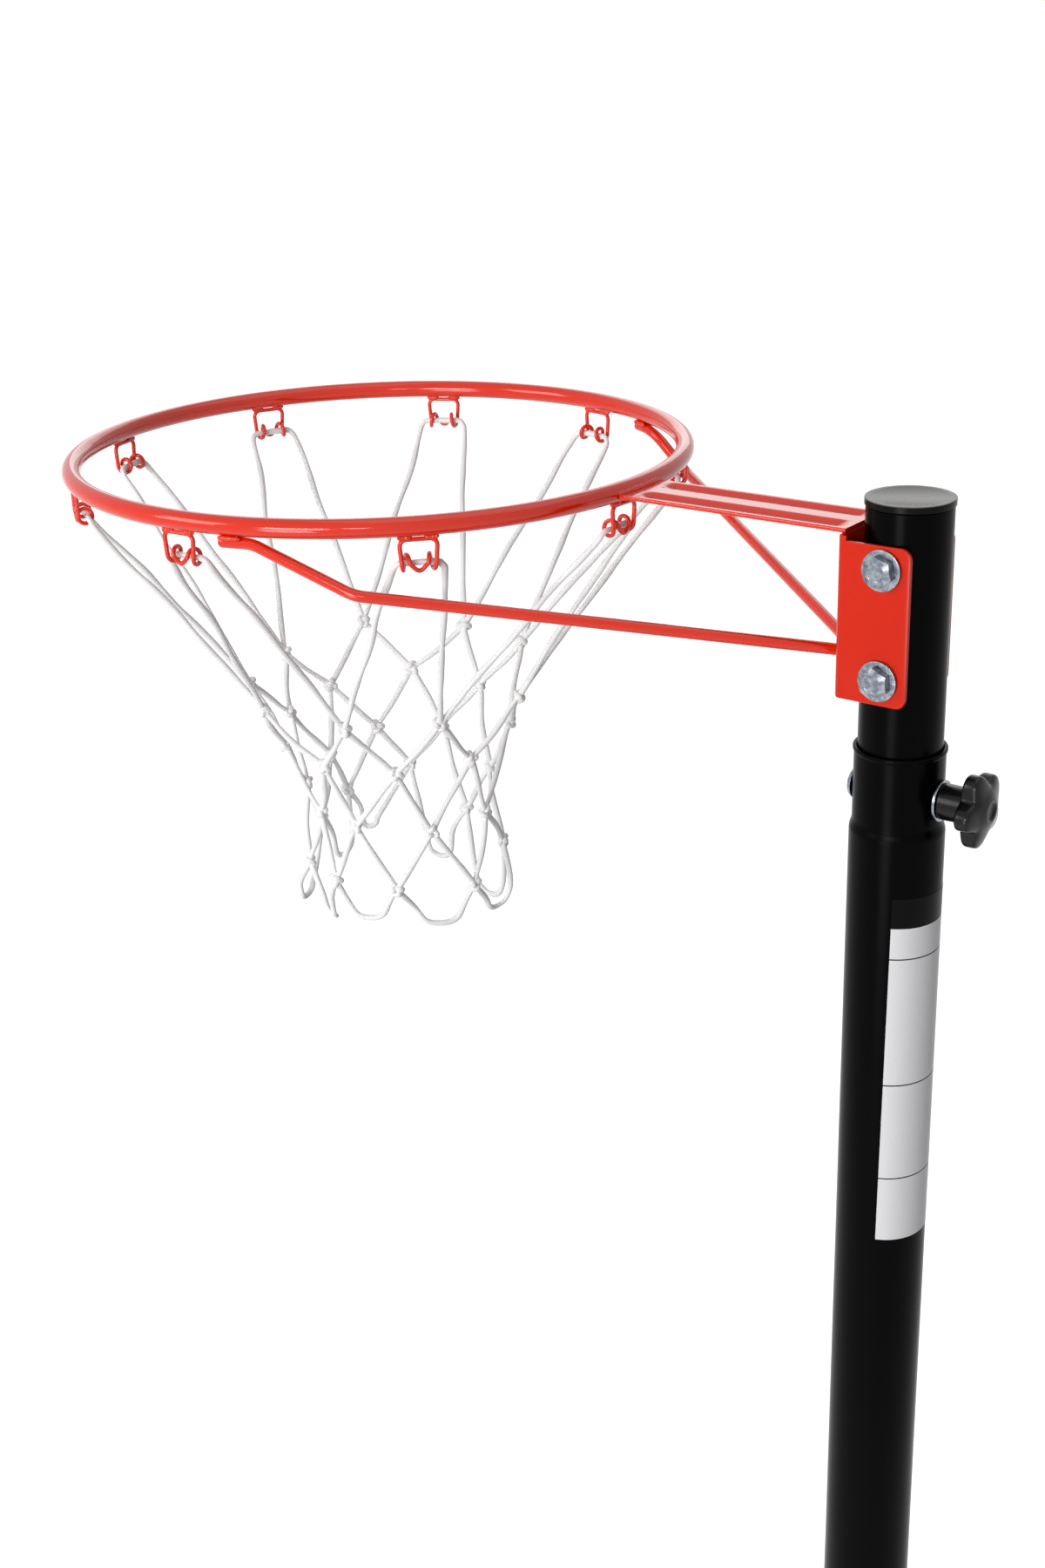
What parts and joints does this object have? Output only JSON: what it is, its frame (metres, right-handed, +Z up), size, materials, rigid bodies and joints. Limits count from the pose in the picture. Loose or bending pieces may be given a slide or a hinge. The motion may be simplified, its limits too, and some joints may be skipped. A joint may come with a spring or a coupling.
{
  "type": "netball post",
  "caption": "Height-adjustable netball post: a round steel goal ring with a knotted net on a telescopic pole in a wheeled ballast tank.",
  "frame": {"origin": "on the floor under the pole's axis, in the underside of the base tank", "axes": "+Z up along the pole; -X from the pole towards the goal ring; +X towards the far end of the tank"},
  "size_m": [1.2261, 0.5266, 2.451],
  "materials": {
    "red_paint": "gloss powder coat",
    "black_paint": "semi-gloss powder coat",
    "black_plastic": "satin moulded",
    "cap_plastic": "satin moulded",
    "zinc": "bright zinc plate",
    "net_cord": "white knotted cord",
    "tank_plastic": "fine grained blow moulding",
    "wheel_plastic": "satin moulded",
    "seal_rubber": "plain"
  },
  "bodies": {
    "stand": {"base_tank": "tank_plastic", "middle_pole": "black_paint", "bottom_pole": "black_paint", "lock_screw": "zinc", "pole_plug": "black_plastic", "axle": "zinc", "axle_cap_left": "zinc", "axle_cap_right": "zinc", "clamp_bolt": "zinc", "clamp_washer": "zinc", "filler_seal": "seal_rubber", "strut_left": "black_paint", "strut_right": "black_paint", "strut_washer_left": "zinc", "strut_washer_right": "zinc", "strut_foot_bolt_left": "zinc", "strut_foot_bolt_right": "zinc", "strut_bolt": "zinc", "strut_nut": "zinc"},
    "head": {"goal_ring": "red_paint", "ring_arm": "red_paint", "v_brace": "red_paint", "pole_bracket": "red_paint", "net_hook_1": "red_paint", "net_hook_2": "red_paint", "net_hook_3": "red_paint", "net_hook_4": "red_paint", "net_hook_5": "red_paint", "net_hook_6": "red_paint", "net_hook_7": "red_paint", "net_hook_8": "red_paint", "net_hook_9": "red_paint", "net": "net_cord", "upper_pole": "black_paint", "pole_cap": "cap_plastic", "ring_bolt_upper": "zinc", "ring_washer_near_upper": "zinc", "ring_washer_far_upper": "zinc", "ring_nut_upper": "zinc", "ring_bolt_lower": "zinc", "ring_washer_near_lower": "zinc", "ring_washer_far_lower": "zinc", "ring_nut_lower": "zinc"},
    "knob": {"clamp_knob": "black_plastic"},
    "wheel_left": {"wheel_left": "wheel_plastic"},
    "wheel_right": {"wheel_right": "wheel_plastic"},
    "filler_cap": {"filler_cap": "cap_plastic"}
  },
  "joints": [
    {"name": "height_slide", "type": "slide", "parent": "stand", "child": "head", "axis": [0, 0, 1], "range_m": [0, 0.61]},
    {"name": "knob_turn", "type": "hinge", "parent": "stand", "child": "knob", "pos_m": [0.044, 0, 2.279], "axis": [1, 0, 0], "continuous": true},
    {"name": "wheel_left_spin", "type": "hinge", "parent": "stand", "child": "wheel_left", "pos_m": [-0.058, 0.239, 0.058], "axis": [0, 1, 0], "continuous": true},
    {"name": "wheel_right_spin", "type": "hinge", "parent": "stand", "child": "wheel_right", "pos_m": [-0.058, -0.239, 0.058], "axis": [0, 1, 0], "continuous": true},
    {"name": "filler_cap_lift", "type": "slide", "parent": "stand", "child": "filler_cap", "axis": [0, 0, 1], "range_m": [0, 0.06]}
  ]
}
